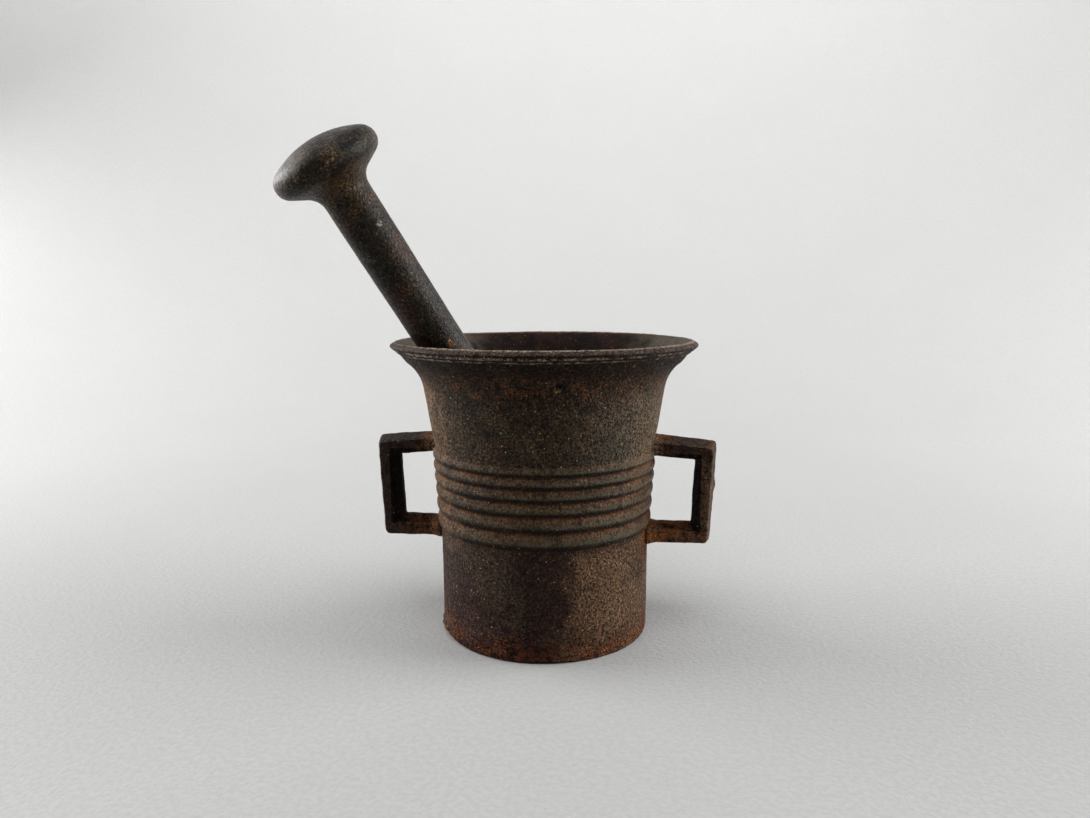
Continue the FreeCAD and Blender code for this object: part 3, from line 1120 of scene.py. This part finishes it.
# the pieces are made here
mortarFinish = makeMortarFinish()
cupLine = mortarProfile()
mortar = turnOut("mortarCup", cupLine, mortarFinish, {
    "Steps Around": mortarSizes["stepsAround"],
    "Outer Points": max(range(len(cupLine)), key=lambda i: cupLine[i][1]),
    "Rings": 6,
    "Ring Relief": 0.0011,
    "Ring Low": mortarSizes["ringLow"] * mm,
    "Ring High": mortarSizes["ringHigh"] * mm,
    "Ring Widening": 1.75,
    "Wave Height": 0.00018,
    "Lump Height": 0.00009,
    "Pit Depth": 0.00025,
    "Grain Height": 0.00003,
    "Seed": 4,
})
reshape(mortar.data, [*((dent, mark) for mark in mortarMarks.values()), (roughenFoot,)])
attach(mortar, "mortar")
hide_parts("mortar")
print("mortar turned", len(mortar.data.polygons))

for handleName, handleSide, handleSeed in (("rightHandle", 1, 11), ("leftHandle", -1, 23)):
    handle = makeHandle(handleName, handleSide, mortarFinish, handleSeed)
    reshape(handle.data, [(dent, handleMarks[handleName])])
    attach(handle, "mortar")
    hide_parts("mortar")
print("handles swept")

pestleTip, pestleWay, pestleLength = pestleAxis()
pestleFinish = makePestleFinish(pestleTip, pestleWay)
pestle = turnOut("ironPestle", pestleProfile(pestleLength / mm), pestleFinish, {
    "Steps Around": pestleSizes["stepsAround"],
    "Rings": 0,
    "Wave Height": 0.0001,
    "Lump Height": 0.00005,
    "Pit Depth": 0.00015,
    "Grain Height": 0.00001,
    "Seed": 9,
})
upright = Vector((0, 0, 1)).rotation_difference(pestleWay).to_matrix().to_4x4()
pestle.data.transform(Matrix.Translation(pestleTip) @ upright)
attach(pestle, "pestle")
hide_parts("pestle")
print("pestle turned", len(pestle.data.polygons), "length", round(pestleLength, 4))


# paper cove and lamps
studio = {
    "paper": (0.325, 0.325, 0.322),
    "floorReach": 0.5,
    "cove": 1.0,
    "wallTop": 2.4,
    "seam": 0.05,
    "room": 0.1,
    "roomTint": (1.0, 0.98, 0.95, 1),
    "steps": 64,
    "rough": 0.7,
    "specular": 0.2,
    "bump": 0.5,
    "relief": 0.0006,
}
lamps = {
    "leftSoft": {"spot": (-1.12, 0.2, 0.42), "size": (0.95, 0.6), "power": 26.0},
    "rightSoft": {"spot": (1.12, 0.2, 0.42), "size": (0.95, 0.6), "power": 26.0},
    "overSoft": {"spot": (0.0, -0.38, 1.25), "size": (1.1, 0.9), "power": 13.5},
    "backSoft": {"spot": (0.0, 0.5, 1.5), "size": (1.8, 0.4), "power": 39.0, "aim": (0, 1.5, 1.15)},
}


def makePaper():
    finish, tree, shader = newFinish("paperSweep")
    place = addNode(tree, "ShaderNodeTexCoord").outputs["Object"]
    grain = cloud(tree, place, 520.0, 2.0, 0.55)
    fibre = cloud(tree, place, 1500.0, 2.0, 0.6, 4.0)
    slow = cloud(tree, place, 9.0, 2.0, 0.5, 2.0)
    base = studio["paper"]
    tone = blend(tree, slow, tuple(v * 0.96 for v in base), tuple(min(1, v * 1.03) for v in base))
    tone = blend(tree, ease(tree, grain, 0.35, 0.65), tone, tuple(v * 0.93 for v in base))
    height = total(tree, grain, product(tree, fibre, 0.4))
    setSurface(tree, shader, tone, studio["rough"], height, studio)
    return finish


def sweepLine():
    flat, cove = studio["floorReach"], studio["cove"]
    floorLine = [(0.0, 0.0), (flat * 0.5, 0.0), (flat * 0.9, 0.0)]
    curve = arcPoints((flat, cove), cove, -math.pi / 2, 0.0, 0.04)
    return floorLine + curve + [(flat + cove, studio["wallTop"])]


def makeSweep(name, first, last, low, high, finish):
    # part of a round paper cove, turned from one stretch of its profile
    profile = [p for p in sweepLine() if low <= p[1] <= high]
    count = studio["steps"]
    points = []
    for k in range(count + 1):
        turn = first + (last - first) * k / count
        points += [(r * math.cos(turn), r * math.sin(turn), z) for r, z in profile]
    size = len(profile)
    faces = [(k * size + i, k * size + i + 1, (k + 1) * size + i + 1, (k + 1) * size + i)
             for k in range(count) for i in range(size - 1)]
    sweep = meshObject(name, points, (), faces)
    editMesh(sweep.data, lambda bm: bmesh.ops.remove_doubles(bm, verts=bm.verts, dist=0.00001))
    for polygon in sweep.data.polygons:
        polygon.use_smooth = True
    sweep.data.materials.append(finish)
    return sweep


def makeStudio():
    paper = makePaper()
    top = studio["wallTop"]
    makeSweep("backPaper", 0.0, math.pi, 0.0, top, paper)
    seam = max(z for r, z in sweepLine() if z < studio["seam"])
    makeSweep("floorPaper", math.pi, 2 * math.pi, 0.0, seam, paper)
    # the near wall only shows behind the object from other sides; it throws no light forward
    nearWall = makeSweep("nearPaper", math.pi, 2 * math.pi, seam, top, paper)
    nearWall.visible_diffuse = False
    nearWall.visible_glossy = False
    nearWall.visible_shadow = False


def addLamp(name, light):
    data = bpy.data.lights.new(name, "AREA")
    data.shape = "RECTANGLE"
    data.size, data.size_y = light["size"]
    data.energy = light["power"]
    lamp = addObject(name, data)
    spot = Vector(light["spot"])
    aim = Vector(light.get("aim", (0, 0, 0.07))) - spot
    lamp.matrix_world = Matrix.Translation(spot) @ aim.to_track_quat("-Z", "Y").to_matrix().to_4x4()
    lamp.visible_camera = False


def makeLights():
    for name, light in lamps.items():
        addLamp(name, light)
    world = bpy.data.worlds.new("room")
    world.use_nodes = True
    sky = world.node_tree.nodes["Background"]
    sky.inputs[0].default_value = studio["roomTint"]
    sky.inputs[1].default_value = studio["room"]
    bpy.context.scene.world = world
    bpy.context.scene.view_settings.view_transform = "Standard"


makeStudio()
makeLights()
print("studio set")
